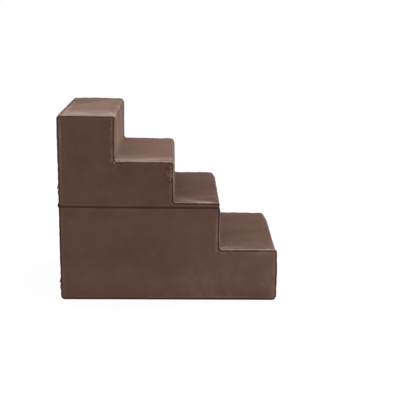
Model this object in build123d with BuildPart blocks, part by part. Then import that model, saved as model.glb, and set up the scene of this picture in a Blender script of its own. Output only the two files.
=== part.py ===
from build123d import *
import os

os.makedirs("parts", exist_ok=True)

# Four foam pet steps in two stacked, zip-covered blocks joined by a fabric hinge at the back.
# The origin is at the middle of the base, +X points to the lowest step, +Z up, millimetres.

# Steps, counted from the floor
overall_width = 406
first_riser = 149.5
second_riser = 135
third_riser = 114
top_riser = 123
first_tread = 165
second_tread = 129
third_tread = 159
top_tread = 157

# Joint between the two blocks, under the lip that carries tread 2
lip_thickness = 12.7
strip_thickness = 1.2
mating_gap = 0.3

# Soft form: crowned treads, rounded edges and corners
tread_crown = 1.2
edge_radius = 6
floor_radius = 12
first_nose_radius = 16
lip_radius = 6
nose_radius = 9
rear_radius = 9
corner_radius = 10

# Cover and foam
cover_thickness = 1.8
foam_clearance = 0.3
seam_gap = 0.6
seam_inset = 2
base_seam_height = 6

# Hook-and-loop strips between the blocks
strip_width = 30
strip_length = 320
strip_count = 3
strip_margin = 34

# Fabric hinge strip at the back
hinge_thickness = 1
hinge_reach = 26
hinge_length = 372
hinge_slack = 4
hinge_fold = 9
hinge_tip_gap = 0.5

# Zips: one across the back of each cover
lower_zip_height = 45
upper_zip_rise = 46
zip_slot = 10
tape_width = 11.5
tape_thickness = 0.8
tooth_pitch = 7
tooth_thickness = 2.4
tooth_root = 3
tooth_neck = 1.6
tooth_head = 2.7
tooth_reach = 0.9
tooth_shoulder = 1
tape_offset = 2.9
zip_end_margin = 14
stop_length = 3
stop_width = 2.2
stop_gap = 0.4

# Zip slider
slider_length = 12
slider_shoulder = 9.2
slider_tail = 8
slider_nose = 5.6
plate_outer = 1
plate_inner = 0.8
slider_clearance = 0.15
plate_round = 0.9
post_length = 3.4
post_width = 3
post_setback = 1.2
lug_width = 2.4
lug_length = 6.4
lug_window = 3
lug_height = 3.05
lug_roof = 0.85
lug_round = 1.2

# Pull tab
pull_length = 27
pull_width = 6.6
pull_tip_width = 5.4
pull_thickness = 1.2
pull_window_width = 3.6
pull_window_length = 7.5
pull_bar = 1.2
pull_hole_radius = 1.4
pull_round = 2

# Cutters run past the part by this much
overrun = 20

# Sizes worked out from the ones above
overall_length = first_tread + second_tread + third_tread + top_tread
back_x = -overall_length / 2
front_x = overall_length / 2
half_width = overall_width / 2
top_nose_x = back_x + top_tread
third_nose_x = top_nose_x + third_tread
second_nose_x = third_nose_x + second_tread
second_level = first_riser + second_riser
third_level = second_level + third_riser
top_level = third_level + top_riser
module_gap = 2 * strip_thickness + mating_gap
upper_floor = second_level - lip_thickness
lower_roof = upper_floor - module_gap
foam_inset = cover_thickness + foam_clearance
bevel_share = 2 - 2**0.5
fold_height = (upper_floor + lower_roof) / 2
fold_x = back_x - hinge_slack
side_seam = half_width - seam_inset
strip_edge = side_seam - seam_gap
tape_length = overall_width - 2 * (edge_radius + seam_gap)

# Side views, anticlockwise from the rear lower corner, with each edge's crown and each corner's radius
lower_corners = [
    (back_x, 0),
    (front_x, 0),
    (front_x, first_riser),
    (second_nose_x, first_riser),
    (second_nose_x, lower_roof),
    (back_x, lower_roof),
]
lower_crowns = [0, 0, tread_crown, 0, 0, 0]
lower_radii = [floor_radius, floor_radius, first_nose_radius, corner_radius, nose_radius, rear_radius]
upper_corners = [
    (back_x, upper_floor),
    (second_nose_x, upper_floor),
    (second_nose_x, second_level),
    (third_nose_x, second_level),
    (third_nose_x, third_level),
    (top_nose_x, third_level),
    (top_nose_x, top_level),
    (back_x, top_level),
]
upper_crowns = [0, 0, tread_crown, 0, tread_crown, 0, tread_crown, 0]
upper_radii = [
    rear_radius,
    lip_radius,
    lip_radius,
    corner_radius,
    nose_radius,
    corner_radius,
    nose_radius,
    rear_radius,
]


def unit_step(start, end):
    """The direction from one corner to the next."""
    run = end[0] - start[0]
    rise = end[1] - start[1]
    length = (run**2 + rise**2) ** 0.5
    return run / length, rise / length


def side_view(corners, crowns, radii, inset):
    """A side view drawn in all round by inset, with edges that bulge by their crowns and round corners."""
    inner_corners = []
    inner_radii = []
    for index, corner in enumerate(corners):
        after = unit_step(corner, corners[(index + 1) % len(corners)])
        before = unit_step(corners[index - 1], corner)
        inward = (-before[1] - after[1], before[0] + after[0])
        turns_left = before[0] * after[1] > before[1] * after[0]
        inner_corners.append((corner[0] + inset * inward[0], corner[1] + inset * inward[1]))
        inner_radii.append(radii[index] - inset if turns_left else radii[index] + inset)
    with BuildSketch() as outline:
        with BuildLine():
            for index, start in enumerate(inner_corners):
                end = inner_corners[(index + 1) % len(inner_corners)]
                if crowns[index] > 0:
                    SagittaArc(start, end, -crowns[index])
                else:
                    Line(start, end)
        make_face()
        for corner, radius in zip(inner_corners, inner_radii):
            fillet(outline.vertices().sort_by_distance((*corner, 0))[0], radius)
    return outline.sketch


def soft_block(corners, crowns, radii, inset):
    """A stepped block drawn in all round by inset: rounded long edges outside, bevelled ones within."""
    outline = side_view(corners, crowns, radii, inset)
    with BuildPart() as block:
        with BuildSketch(Plane.XZ.offset(inset - half_width)):
            add(outline)
        extrude(amount=overall_width - 2 * inset)
        for side in (0, -1):
            long_edges = block.faces().sort_by(Axis.Y)[side].edges()
            if inset > 0:
                chamfer(long_edges, bevel_share * (edge_radius - inset))
            else:
                fillet(long_edges, edge_radius)
    return block.part


def keep_box(low, high, mode=Mode.INTERSECT):
    """Keeps, or with another mode cuts, what lies between two opposite corners."""
    size = [high[axis] - low[axis] for axis in range(3)]
    middle = [(high[axis] + low[axis]) / 2 for axis in range(3)]
    with Locations(tuple(middle)):
        Box(*size, mode=mode)


def save(piece, name):
    """Labels a finished piece and writes it."""
    piece.part.label = name
    export_step(piece.part, "parts/" + name + ".step")


far = overall_length
side_limit = half_width + overrun

# Each block's outer skin less the space inside it is the sewn cover
lower_outside = soft_block(lower_corners, lower_crowns, lower_radii, 0)
lower_inside = soft_block(lower_corners, lower_crowns, lower_radii, cover_thickness)
lower_foam = soft_block(lower_corners, lower_crowns, lower_radii, foam_inset)
upper_outside = soft_block(upper_corners, upper_crowns, upper_radii, 0)
upper_inside = soft_block(upper_corners, upper_crowns, upper_radii, cover_thickness)
upper_foam = soft_block(upper_corners, upper_crowns, upper_radii, foam_inset)

with BuildPart() as lower_cover:
    add(lower_outside)
    add(lower_inside, mode=Mode.SUBTRACT)

with BuildPart() as upper_cover:
    add(upper_outside)
    add(upper_inside, mode=Mode.SUBTRACT)

# Foam slabs, glued face to face, cut at the height of each step
first_glue_line = first_riser - foam_inset
second_glue_line = second_level - foam_inset
third_glue_line = third_level - foam_inset

with BuildPart() as lower_base_foam:
    add(lower_foam)
    keep_box((-far, -side_limit, first_glue_line), (second_nose_x, side_limit, far), Mode.SUBTRACT)
save(lower_base_foam, "lower_base_foam")

with BuildPart() as lower_riser_foam:
    add(lower_foam)
    keep_box((-far, -side_limit, first_glue_line), (second_nose_x, side_limit, far))
save(lower_riser_foam, "lower_riser_foam")

with BuildPart() as upper_lip_foam:
    add(upper_foam)
    keep_box((-far, -side_limit, second_glue_line), (third_nose_x, side_limit, far), Mode.SUBTRACT)
save(upper_lip_foam, "upper_lip_foam")

with BuildPart() as upper_third_step_foam:
    add(upper_foam)
    keep_box((-far, -side_limit, second_glue_line), (third_nose_x, side_limit, far))
    keep_box((-far, -side_limit, third_glue_line), (top_nose_x, side_limit, far), Mode.SUBTRACT)
save(upper_third_step_foam, "upper_third_step_foam")

with BuildPart() as upper_top_step_foam:
    add(upper_foam)
    keep_box((-far, -side_limit, third_glue_line), (top_nose_x, side_limit, far))
save(upper_top_step_foam, "upper_top_step_foam")

# Covers: two sides, a step strip, a back in two pieces around the zip, and a base, for each block
covers = [
    ("lower", lower_cover.part, 0, lower_roof, lower_zip_height),
    ("upper", upper_cover.part, upper_floor, top_level, fold_height + upper_zip_rise),
]
for block_name, cover, floor_level, roof_level, zip_height in covers:
    base_seam = floor_level + base_seam_height
    back_seam = back_x + rear_radius
    ceiling = roof_level + overrun

    for side_name, near_edge, far_edge in (
        ("left", -side_limit, -side_seam),
        ("right", side_seam, side_limit),
    ):
        with BuildPart() as side_panel:
            add(cover)
            keep_box((-far, near_edge, base_seam + seam_gap), (far, far_edge, ceiling))
        save(side_panel, block_name + "_" + side_name + "_side_panel")

    with BuildPart() as step_panel:
        add(cover)
        keep_box((back_seam, -strip_edge, base_seam + seam_gap), (far, strip_edge, ceiling))
    save(step_panel, block_name + "_step_panel")

    with BuildPart() as back_top_panel:
        add(cover)
        keep_box((-far, -strip_edge, zip_height + zip_slot / 2), (back_seam - seam_gap, strip_edge, ceiling))
    save(back_top_panel, block_name + "_back_top_panel")

    with BuildPart() as back_bottom_panel:
        add(cover)
        keep_box(
            (-far, -strip_edge, base_seam + seam_gap),
            (back_seam - seam_gap, strip_edge, zip_height - zip_slot / 2),
        )
    save(back_bottom_panel, block_name + "_back_bottom_panel")

    with BuildPart() as base_panel:
        add(cover)
        keep_box((-far, -side_limit, floor_level - overrun), (far, side_limit, base_seam))
    save(base_panel, block_name + "_base_panel")

# Hook-and-loop strips across the joint
first_strip_x = back_x + strip_margin
last_strip_x = second_nose_x - strip_margin
strip_spacing = (last_strip_x - first_strip_x) / (strip_count - 1)
strip_middle_x = (first_strip_x + last_strip_x) / 2

with BuildPart() as lower_loop_strips:
    with BuildSketch(Plane.XY.offset(lower_roof)):
        with Locations((strip_middle_x, 0)):
            with GridLocations(strip_spacing, 0, strip_count, 1):
                Rectangle(strip_width, strip_length)
    extrude(amount=strip_thickness)
save(lower_loop_strips, "lower_loop_strips")

with BuildPart() as upper_hook_strips:
    with BuildSketch(Plane.XY.offset(upper_floor - strip_thickness)):
        with Locations((strip_middle_x, 0)):
            with GridLocations(strip_spacing, 0, strip_count, 1):
                Rectangle(strip_width, strip_length)
    extrude(amount=strip_thickness)
save(upper_hook_strips, "upper_hook_strips")


# Fabric hinge: two leaves sewn to the backs, which bulge out to the fold line between the blocks
leaf_tip_x = fold_x + hinge_tip_gap
for block_name, direction in (("lower", -1), ("upper", 1)):
    sewn_end = fold_height + direction * hinge_reach
    bend = fold_height + direction * hinge_fold
    tip = fold_height + direction * hinge_tip_gap
    with BuildPart() as hinge_leaf:
        with BuildSketch(Plane.XZ):
            with BuildLine():
                Polyline(
                    (back_x, sewn_end),
                    (back_x - hinge_thickness, sewn_end),
                    (back_x - hinge_thickness, bend),
                    (leaf_tip_x, tip),
                    (leaf_tip_x + hinge_thickness, tip),
                    (back_x, bend),
                    close=True,
                )
            make_face()
        extrude(amount=hinge_length / 2, both=True)
    save(hinge_leaf, block_name + "_hinge_leaf")

# Zips: the chain lies in the plane of its tapes, which are sewn on the outside of the back panels
chain_x = back_x - tape_thickness / 2
chain_half_length = tape_length / 2 - zip_end_margin
slider_along = chain_half_length - stop_length - stop_gap - slider_length / 2
post_along = slider_length / 2 - post_setback - post_length / 2
first_tooth_along = stop_length + tooth_root - chain_half_length
last_tooth_along = slider_along + post_along - post_length / 2 - slider_clearance - tooth_root / 2
teeth_per_row = int((last_tooth_along - first_tooth_along - tooth_pitch / 2) / tooth_pitch) + 1
teeth_middle = first_tooth_along + (teeth_per_row - 1) * tooth_pitch / 2
slider_floor = tooth_thickness / 2 + slider_clearance
slot_floor = tape_thickness / 2 + slider_clearance
plate_top = slider_floor + plate_outer
pivot_rise = plate_top + lug_height - lug_roof - slider_clearance - pull_bar / 2


def zip_plane(height, along=0, rise=0):
    """A plane that faces out of the back; its x runs along the zip to the closed end, its y is up."""
    return Plane(origin=(chain_x - rise, -along, height), x_dir=(0, -1, 0), z_dir=(-1, 0, 0))


def zip_side_plane(height, along, rise):
    """A plane across the zip; its x runs to the closed end and its y out of the back."""
    return Plane(origin=(chain_x - rise, -along, height), x_dir=(0, -1, 0), z_dir=(0, 0, -1))


def rectangle_between(left, bottom, right, top, mode=Mode.ADD):
    """A rectangle from its left lower to its right upper corner."""
    with Locations(((left + right) / 2, (bottom + top) / 2)):
        Rectangle(right - left, top - bottom, mode=mode)


with BuildSketch() as tape_pair:
    for side_sign in (-1, 1):
        with Locations((0, side_sign * (tape_offset + tape_width / 2))):
            Rectangle(tape_length, tape_width)

# One tooth: its root on the tape, a neck, and a flared head that passes the middle of the chain
with BuildSketch() as tooth:
    with BuildLine():
        Polyline(
            (-tooth_root / 2, tape_offset),
            (-tooth_neck / 2, tooth_shoulder),
            (-tooth_head / 2, -tooth_reach),
            (tooth_head / 2, -tooth_reach),
            (tooth_neck / 2, tooth_shoulder),
            (tooth_root / 2, tape_offset),
            close=True,
        )
    make_face()

# A slider plate: a narrow tail, wide shoulders and a rounded nose
nose_along = slider_length / 2
shoulder_along = slider_length / 5
with BuildSketch() as slider_plate:
    with BuildLine():
        Polyline(
            (-nose_along, slider_tail / 2),
            (-nose_along, -slider_tail / 2),
            (shoulder_along, -slider_shoulder / 2),
            (nose_along, -slider_nose / 2),
            (nose_along, slider_nose / 2),
            (shoulder_along, slider_shoulder / 2),
            close=True,
        )
    make_face()
    fillet(slider_plate.vertices().group_by(Axis.X)[-1], plate_round)

# The slider's rims leave a channel for the teeth and stop short of its forked mouth
with BuildSketch() as slider_rims:
    add(slider_plate.sketch)
    Rectangle(slider_length + overrun, 2 * (tape_offset + slider_clearance), mode=Mode.SUBTRACT)
    rectangle_between(shoulder_along, -slider_shoulder, slider_length, slider_shoulder, Mode.SUBTRACT)

# The wedge that parts the teeth
with BuildSketch() as slider_post:
    with BuildLine():
        Polyline(
            (-post_length / 2, 0),
            (0, -post_width / 2),
            (post_length / 2, 0),
            (0, post_width / 2),
            close=True,
        )
    make_face()

with BuildSketch() as lug_side_view:
    rectangle_between(-lug_length / 2, 0, lug_length / 2, lug_height)
    fillet(lug_side_view.vertices().group_by(Axis.Y)[-1], lug_round)
    rectangle_between(-lug_window / 2, 0, lug_window / 2, lug_height - lug_roof, Mode.SUBTRACT)

# The pull tab lies flat towards the closed chain, with its window around the lug
with BuildSketch() as pull_outline:
    with BuildLine():
        Polyline(
            (0, pull_width / 2),
            (-pull_window_length, pull_width / 2),
            (-pull_length, pull_tip_width / 2),
            (-pull_length, -pull_tip_width / 2),
            (-pull_window_length, -pull_width / 2),
            (0, -pull_width / 2),
            close=True,
        )
    make_face()
    fillet(pull_outline.vertices().group_by(Axis.X)[0], pull_round)
    rectangle_between(-pull_window_length, -pull_window_width / 2, 0, pull_window_width / 2, Mode.SUBTRACT)
    with Locations((pull_width / 2 - pull_length, 0)):
        Circle(pull_hole_radius, mode=Mode.SUBTRACT)

for block_name, cover, floor_level, roof_level, zip_height in covers:
    with BuildPart() as zip_tapes:
        with BuildSketch(zip_plane(zip_height)):
            add(tape_pair.sketch)
        extrude(amount=tape_thickness / 2, both=True)
    save(zip_tapes, block_name + "_zip_tapes")

    with BuildPart() as zip_teeth:
        for row_sign in (-1, 1):
            row_middle = teeth_middle + (1 + row_sign) * tooth_pitch / 4
            with BuildSketch(zip_plane(zip_height, row_middle, -tooth_thickness / 2)):
                with GridLocations(tooth_pitch, 0, teeth_per_row, 1):
                    add(tooth.sketch, rotation=90 - 90 * row_sign, clean=False)
            extrude(amount=tooth_thickness, clean=False)
    save(zip_teeth, block_name + "_zip_teeth")

    with BuildPart() as zip_stops:
        with BuildSketch(zip_plane(zip_height)):
            for side_sign in (-1, 1):
                with Locations((chain_half_length - stop_length / 2, side_sign * tape_offset)):
                    Rectangle(stop_length, stop_width)
            with Locations((stop_length / 2 - chain_half_length, 0)):
                Rectangle(stop_length, 2 * tape_offset + stop_width)
        extrude(amount=tooth_thickness / 2, both=True)
        with BuildSketch(zip_plane(zip_height)):
            add(tape_pair.sketch)
        extrude(amount=tape_thickness / 2, both=True, mode=Mode.SUBTRACT)
    save(zip_stops, block_name + "_zip_stops")

    with BuildPart() as zip_slider:
        with BuildSketch(zip_plane(zip_height, slider_along, slider_floor)):
            add(slider_plate.sketch)
        extrude(amount=plate_outer)
        with BuildSketch(zip_plane(zip_height, slider_along, -slider_floor)):
            add(slider_plate.sketch)
        extrude(amount=-plate_inner)
        for rise_sign in (-1, 1):
            with BuildSketch(zip_plane(zip_height, slider_along, rise_sign * slot_floor)):
                add(slider_rims.sketch)
            extrude(amount=rise_sign * (slider_floor - slot_floor))
        with BuildSketch(zip_plane(zip_height, slider_along + post_along)):
            add(slider_post.sketch)
        extrude(amount=slider_floor, both=True)
        with BuildSketch(zip_side_plane(zip_height, slider_along, plate_top)):
            add(lug_side_view.sketch)
        extrude(amount=lug_width / 2, both=True)
    save(zip_slider, block_name + "_zip_slider")

    with BuildPart() as zip_pull:
        with BuildSketch(zip_plane(zip_height, slider_along, pivot_rise)):
            add(pull_outline.sketch)
        extrude(amount=pull_thickness / 2, both=True)
        with BuildSketch(zip_side_plane(zip_height, slider_along, pivot_rise)):
            Circle(pull_bar / 2)
        extrude(amount=pull_width / 2, both=True)
    save(zip_pull, block_name + "_zip_pull")

    travel = slider_along - slider_length / 2 - stop_gap - stop_length + chain_half_length
    print(block_name, "zip: slider travel", round(travel, 3))
    print(block_name, "pull pivot", round(chain_x - pivot_rise, 3), round(-slider_along, 3), zip_height)

print("fold axis", fold_x, fold_height)
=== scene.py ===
import math

import bmesh
import bpy
import numpy as np
from mathutils import Matrix, Vector, noise
from mathutils.geometry import delaunay_2d_cdt


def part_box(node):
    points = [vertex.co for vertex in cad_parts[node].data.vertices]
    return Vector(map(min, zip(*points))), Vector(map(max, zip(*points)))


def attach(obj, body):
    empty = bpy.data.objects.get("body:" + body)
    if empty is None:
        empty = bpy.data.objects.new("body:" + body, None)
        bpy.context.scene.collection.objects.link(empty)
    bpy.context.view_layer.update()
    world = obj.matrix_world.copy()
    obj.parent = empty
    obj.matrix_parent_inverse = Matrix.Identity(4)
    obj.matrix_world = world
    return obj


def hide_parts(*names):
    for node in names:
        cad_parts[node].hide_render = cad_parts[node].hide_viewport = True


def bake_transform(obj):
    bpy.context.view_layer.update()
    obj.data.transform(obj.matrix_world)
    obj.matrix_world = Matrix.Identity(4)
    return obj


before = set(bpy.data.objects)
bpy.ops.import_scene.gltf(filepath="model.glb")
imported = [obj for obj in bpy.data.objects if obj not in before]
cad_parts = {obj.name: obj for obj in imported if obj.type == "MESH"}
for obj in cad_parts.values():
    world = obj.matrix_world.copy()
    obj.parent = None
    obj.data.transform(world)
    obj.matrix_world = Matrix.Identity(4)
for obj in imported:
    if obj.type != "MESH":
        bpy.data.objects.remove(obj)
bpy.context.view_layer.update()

# Four pet steps in brown micro-suede: two foam blocks in zip-off covers, hinged on a strip at the back.
# Metres, +X towards the lowest step, +Z up. The near side in the photograph is the left one, at -Y.

scene = bpy.context.scene

# Sizes of the covers
EDGE_RADIUS = 0.0050
JOINT_EDGE = 0.0022
COVER_THICKNESS, BASE_THICKNESS, HINGE_THICKNESS = 0.0016, 0.0014, 0.0009
FOAM_INSET = 0.0021
CORE_INSET, CORE_EDGE = 0.0040, 0.0015
TREAD_CROWN = 0.0012
SEAM_ANGLE = math.radians(86)
SEAM_ROLL, SEAM_CLEARANCE = 0.0024, 0.0001
SEAM_SHADE = 0.60
RIDGE_PLACE = 0.0034
JOINT_SWELL = 0.0012
UPPER_TRAY = 0.0018
FAR_SAG, FAR_ROUND, FAR_REACH = 0.010, 0.019, 0.060
BASE_WAVE = 0.0009
DOT_HEIGHT = 0.0006
HINGE_LIFT, HINGE_LOOP = 0.0010, 0.0030
STOP_LENGTH = 0.0032
BRUSH = np.array(Matrix.Rotation(math.radians(35), 3, "Z"))
CLOTH_RISE, CLOTH_DIP, CLOTH_FRAMES = 0.0016, 0.0012, 20
CLOTH = {
    "quality": 5,
    "mass": 0.25,
    "vertex_group_mass": "held",
    "tension_stiffness": 25,
    "compression_stiffness": 25,
    "shear_stiffness": 8,
    "bending_stiffness": 0.3,
    "shrink_min": -0.006,
    "use_pressure": True,
    "uniform_pressure_force": 2,
}
SLABS = {
    "lower": ("lower_base_foam", "lower_riser_foam"),
    "upper": ("upper_lip_foam", "upper_third_step_foam", "upper_top_step_foam"),
}

# Sizes that the frame gives
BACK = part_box("lower_back_top_panel")[0].x
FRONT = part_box("lower_step_panel")[1].x
HALF_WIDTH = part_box("lower_right_side_panel")[1].y
STEP_SLABS = ("lower_riser_foam", "upper_third_step_foam", "upper_top_step_foam")
SECOND_NOSE, THIRD_NOSE, TOP_NOSE = (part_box(slab)[1].x for slab in STEP_SLABS)
BACK_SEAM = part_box("lower_step_panel")[0].x
LOWER_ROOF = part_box("lower_step_panel")[1].z
UPPER_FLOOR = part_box("upper_base_panel")[0].z
FIRST_LEVEL, SECOND_LEVEL, THIRD_LEVEL = (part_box(slab)[0].z + FOAM_INSET for slab in STEP_SLABS)
TOP_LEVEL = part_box("upper_step_panel")[1].z - TREAD_CROWN
TREADS = (FIRST_LEVEL, SECOND_LEVEL, THIRD_LEVEL, TOP_LEVEL)

JOINT = (LOWER_ROOF + UPPER_FLOOR) / 2
STRIP_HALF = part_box("lower_loop_strips")[1].y
STRIP_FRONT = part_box("lower_loop_strips")[1].x
TAPE_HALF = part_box("lower_zip_tapes")[1].y
STOP_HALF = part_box("lower_zip_stops")[1].y
SEAM_REACH = HALF_WIDTH - EDGE_RADIUS + EDGE_RADIUS * SEAM_ANGLE

# Mesh spacing
PANEL_SPACING = 0.006
OUTLINE_STEP = 0.0005
ARC_SAMPLES = 32
EDGE_STEPS = np.array((0, 0.0002, 0.0005, 0.0010, 0.0016, 0.0024, 0.0036, 0.0048, 0.0060, 0.0072))
EDGE_END = 0.0088

# Colours
WHITE = (1, 1, 1, 1)
SHEEN_TINT = (1, 0.68, 0.56, 1)


# Node trees


class Tree:
    """An emptied node tree and short ways to fill it."""

    def __init__(self, owner):
        owner.use_nodes = True
        self.tree = owner.node_tree
        self.tree.nodes.clear()

    def add(self, kind, sockets=None, **settings):
        """A new node. Its sockets take values or other nodes' outputs."""
        node = self.tree.nodes.new(kind)
        for key, value in settings.items():
            setattr(node, key, value)
        for key, value in (sockets or {}).items():
            self.feed(node.inputs[key], value)
        return node

    def feed(self, socket, value):
        if isinstance(value, bpy.types.NodeSocket):
            self.tree.links.new(value, socket)
        else:
            socket.default_value = value

    def math(self, operation, first, second):
        return self.add("ShaderNodeMath", {0: first, 1: second}, operation=operation).outputs[0]

    def seen_directly(self):
        """1 for camera, glossy and transmission rays."""
        rays = self.add("ShaderNodeLightPath").outputs
        plain = self.math("MAXIMUM", rays["Is Camera Ray"], rays["Is Glossy Ray"])
        return self.math("MAXIMUM", plain, rays["Is Transmission Ray"])

    def end(self, output, share, first, second):
        """Ends the tree with a mix of two shaders."""
        mix = self.add("ShaderNodeMixShader", {0: share, 1: first.outputs[0], 2: second.outputs[0]})
        self.add(output, {0: mix.outputs[0]})


class Finish(Tree):
    """A new material with one Principled shader."""

    def __init__(self, name):
        self.material = bpy.data.materials.new(name)
        super().__init__(self.material)
        self.shader = self.add("ShaderNodeBsdfPrincipled")
        self.add("ShaderNodeOutputMaterial", {0: self.shader.outputs[0]})
        self.place = self.add("ShaderNodeTexCoord").outputs["Object"]

    def stretched(self, scale, turn=(0, 0, 0)):
        """Object coordinates times a scale for each axis."""
        sockets = {"Scale": scale, "Rotation": turn, "Vector": self.place}
        return self.add("ShaderNodeMapping", sockets).outputs[0]

    def noise(self, scale, detail=3, roughness=0.5, place=None, distortion=0):
        sockets = {"Scale": scale, "Detail": detail, "Roughness": roughness, "Distortion": distortion}
        sockets["Vector"] = place or self.place
        return self.add("ShaderNodeTexNoise", sockets).outputs["Fac"]

    def cells(self, scale):
        """Distance from the middles of small cells."""
        return self.add("ShaderNodeTexVoronoi", {"Scale": scale, "Vector": self.place}).outputs["Distance"]

    def bands(self, scale, direction, distortion=0):
        sockets = {"Scale": scale, "Distortion": distortion, "Vector": self.place}
        node = self.add("ShaderNodeTexWave", sockets, wave_type="BANDS", bands_direction=direction)
        return node.outputs["Fac"]

    def attribute(self, name):
        return self.add("ShaderNodeAttribute", attribute_name=name).outputs["Fac"]

    def total(self, *values):
        """The sum of several values."""
        result = values[0]
        for value in values[1:]:
            result = self.math("ADD", result, value)
        return result

    def between(self, value, low, high, from_low=0.3, from_high=0.7):
        """Value spread over a range, clamped."""
        sockets = {"Value": value, "From Min": from_low, "From Max": from_high}
        sockets |= {"To Min": low, "To Max": high}
        return self.add("ShaderNodeMapRange", sockets, clamp=True).outputs["Result"]

    def colour(self, value, *stops):
        """The base colour, from a ramp along a value."""
        node = self.add("ShaderNodeValToRGB", {0: value})
        elements = node.color_ramp.elements
        for index, (position, colour) in enumerate(stops):
            if index > 1:
                elements.new(position)
            elements[index].position = position
            elements[index].color = (*colour, 1)
        self.feed(self.shader.inputs["Base Color"], node.outputs[0])

    def roughness(self, value, low, high):
        self.feed(self.shader.inputs["Roughness"], self.between(value, low, high))

    def bump(self, height, depth, strength=1, under=None):
        """Relief from a height, over another bump's where one is given."""
        node = self.add("ShaderNodeBump", {"Strength": strength, "Distance": depth, "Height": height})
        if under is not None:
            self.feed(node.inputs["Normal"], under)
        self.feed(self.shader.inputs["Normal"], node.outputs[0])
        return node.outputs[0]

    def set(self, **values):
        for key, value in values.items():
            self.shader.inputs[key.replace("_", " ")].default_value = value


# Camera and light


def camera_at_the_photograph():
    """The photograph's view, fitted on the corners of the steps. No lens shift."""
    place = (0.00578, -2.35918, 0.82870)
    yaw, pitch, roll = 0.046, 0.253, 0.020
    focal_pixels, image_width, sensor_width = 809.35, 416, 36
    forward = Vector((math.sin(yaw) * math.cos(pitch), math.cos(yaw) * math.cos(pitch), -math.sin(pitch)))
    level = Vector((math.cos(yaw), -math.sin(yaw), 0))
    upright = level.cross(forward)
    right = level * math.cos(roll) + upright * math.sin(roll)
    up = upright * math.cos(roll) - level * math.sin(roll)
    data = bpy.data.cameras.new("camera")
    data.sensor_fit = "HORIZONTAL"
    data.sensor_width = sensor_width
    data.lens = focal_pixels * sensor_width / image_width
    camera = bpy.data.objects.new("camera", data)
    scene.collection.objects.link(camera)
    camera.matrix_world = Matrix.Translation(place) @ Matrix((right, up, -forward)).transposed().to_4x4()
    scene.camera = camera


def floor_and_backdrop():
    """A plain pale floor that keeps the object's shadow and looks white to the camera."""
    size, drop = 40, 0.0002
    pale, glow_strength, glow_share = (0.82, 0.82, 0.82, 1), 1.1, 0.84
    bpy.ops.mesh.primitive_plane_add(size=size, location=(0, 0, -drop))
    floor = bpy.context.object
    floor.name = "floor"
    material = bpy.data.materials.new("floor")
    tree = Tree(material)
    matte = tree.add("ShaderNodeBsdfDiffuse", {"Color": pale})
    glow = tree.add("ShaderNodeEmission", {"Strength": glow_strength})
    share = tree.math("MULTIPLY", tree.seen_directly(), glow_share)
    tree.end("ShaderNodeOutputMaterial", share, matte, glow)
    floor.data.materials.append(material)


def world_light():
    """Soft light from all round, and plain white where the camera sees past the floor."""
    world = bpy.data.worlds.new("world")
    scene.world = world
    tree = Tree(world)
    light, backdrop = (
        tree.add("ShaderNodeBackground", {"Color": WHITE, "Strength": strength}) for strength in (0.60, 1)
    )
    tree.end("ShaderNodeOutputWorld", tree.seen_directly(), light, backdrop)


def softbox(name, place, size, power):
    """A lamp that faces the middle of the steps."""
    middle = Vector((0, 0, 0.25))
    data = bpy.data.lights.new(name, "AREA")
    data.shape = "RECTANGLE"
    data.size, data.size_y = size
    data.energy = power
    lamp = bpy.data.objects.new(name, data)
    scene.collection.objects.link(lamp)
    lamp.location = place
    lamp.rotation_euler = (middle - Vector(place)).to_track_quat("-Z", "Y").to_euler()


# Materials


def suede():
    """Brown micro-suede: short brushed fibres in random tones, with painted highlights and painted shade
    from an attribute that each cover carries.
    """
    nodes = Finish("micro_suede")
    brushed = nodes.noise(6, 3, 0.55, nodes.stretched((1, 1.6, 0.7), (0.3, 0.2, 0.6)), 0.8)
    patches = nodes.noise(26, 5, 0.62)
    fibres = nodes.noise(1500, 3, 0.7)
    weave = nodes.noise(380, 2, 0.6)
    # Painted shade and painted highlights along the creases where the cover is gathered. The same value
    # gives the creases their bump.
    crease_shade_and_relief = nodes.noise(190, 2, 0.5, nodes.stretched((1, 1, 0.4)), 1)
    crease_shade_and_relief = nodes.between(crease_shade_and_relief, -0.8, 0.6, 0.36, 0.64)
    crease_shade_and_relief = nodes.math("MULTIPLY", nodes.attribute("gather"), crease_shade_and_relief)
    nap = nodes.total(
        nodes.between(brushed, 0.14, 0.28),
        nodes.between(patches, 0.04, 0.18),
        nodes.between(fibres, -0.10, 0.10),
        nodes.between(weave, -0.06, 0.06),
        # Painted highlights and painted shade that each cover carries, with its brushed strokes and the top
        # tread's brushed wedge.
        nodes.attribute("nap"),
        crease_shade_and_relief,
    )
    nodes.colour(
        nodes.math("MULTIPLY", nap, 0.8),
        (0.0, (0.064, 0.027, 0.018)),
        (0.24, (0.112, 0.057, 0.041)),
        (0.48, (0.152, 0.085, 0.063)),
        # The palest stops colour the painted highlights.
        (0.80, (0.295, 0.217, 0.182)),
        (1.0, (0.340, 0.265, 0.230)),
    )
    nodes.roughness(patches, 0.82, 0.95)
    nodes.set(Sheen_Weight=0.38, Sheen_Roughness=0.32, Sheen_Tint=SHEEN_TINT, Specular_IOR_Level=0.12)
    folds = nodes.bump(crease_shade_and_relief, 0.0012, 0.8)
    coarse = nodes.bump(weave, 0.00030, 0.45, folds)
    nodes.bump(fibres, 0.00018, 0.5, coarse)
    return nodes.material


def woven(name, dark, light, pitch):
    """A narrow woven tape or strip: ribs across a fine weave."""
    nodes = Finish(name)
    scale = 0.314 / pitch
    weave = nodes.math("MULTIPLY", nodes.bands(scale, "Y", 0.4), nodes.bands(scale, "Z", 0.4))
    worn = nodes.noise(60, 4, 0.6)
    tone = nodes.total(nodes.math("MULTIPLY", weave, 0.6), nodes.between(worn, -0.1, 0.4))
    nodes.colour(tone, (0, dark), (1, light))
    nodes.bump(weave, 0.0003, 0.7)
    nodes.set(Roughness=0.85, Specular_IOR_Level=0.2)
    nodes.set(Sheen_Weight=0.15, Sheen_Roughness=0.4, Sheen_Tint=SHEEN_TINT)
    return nodes.material


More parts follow.
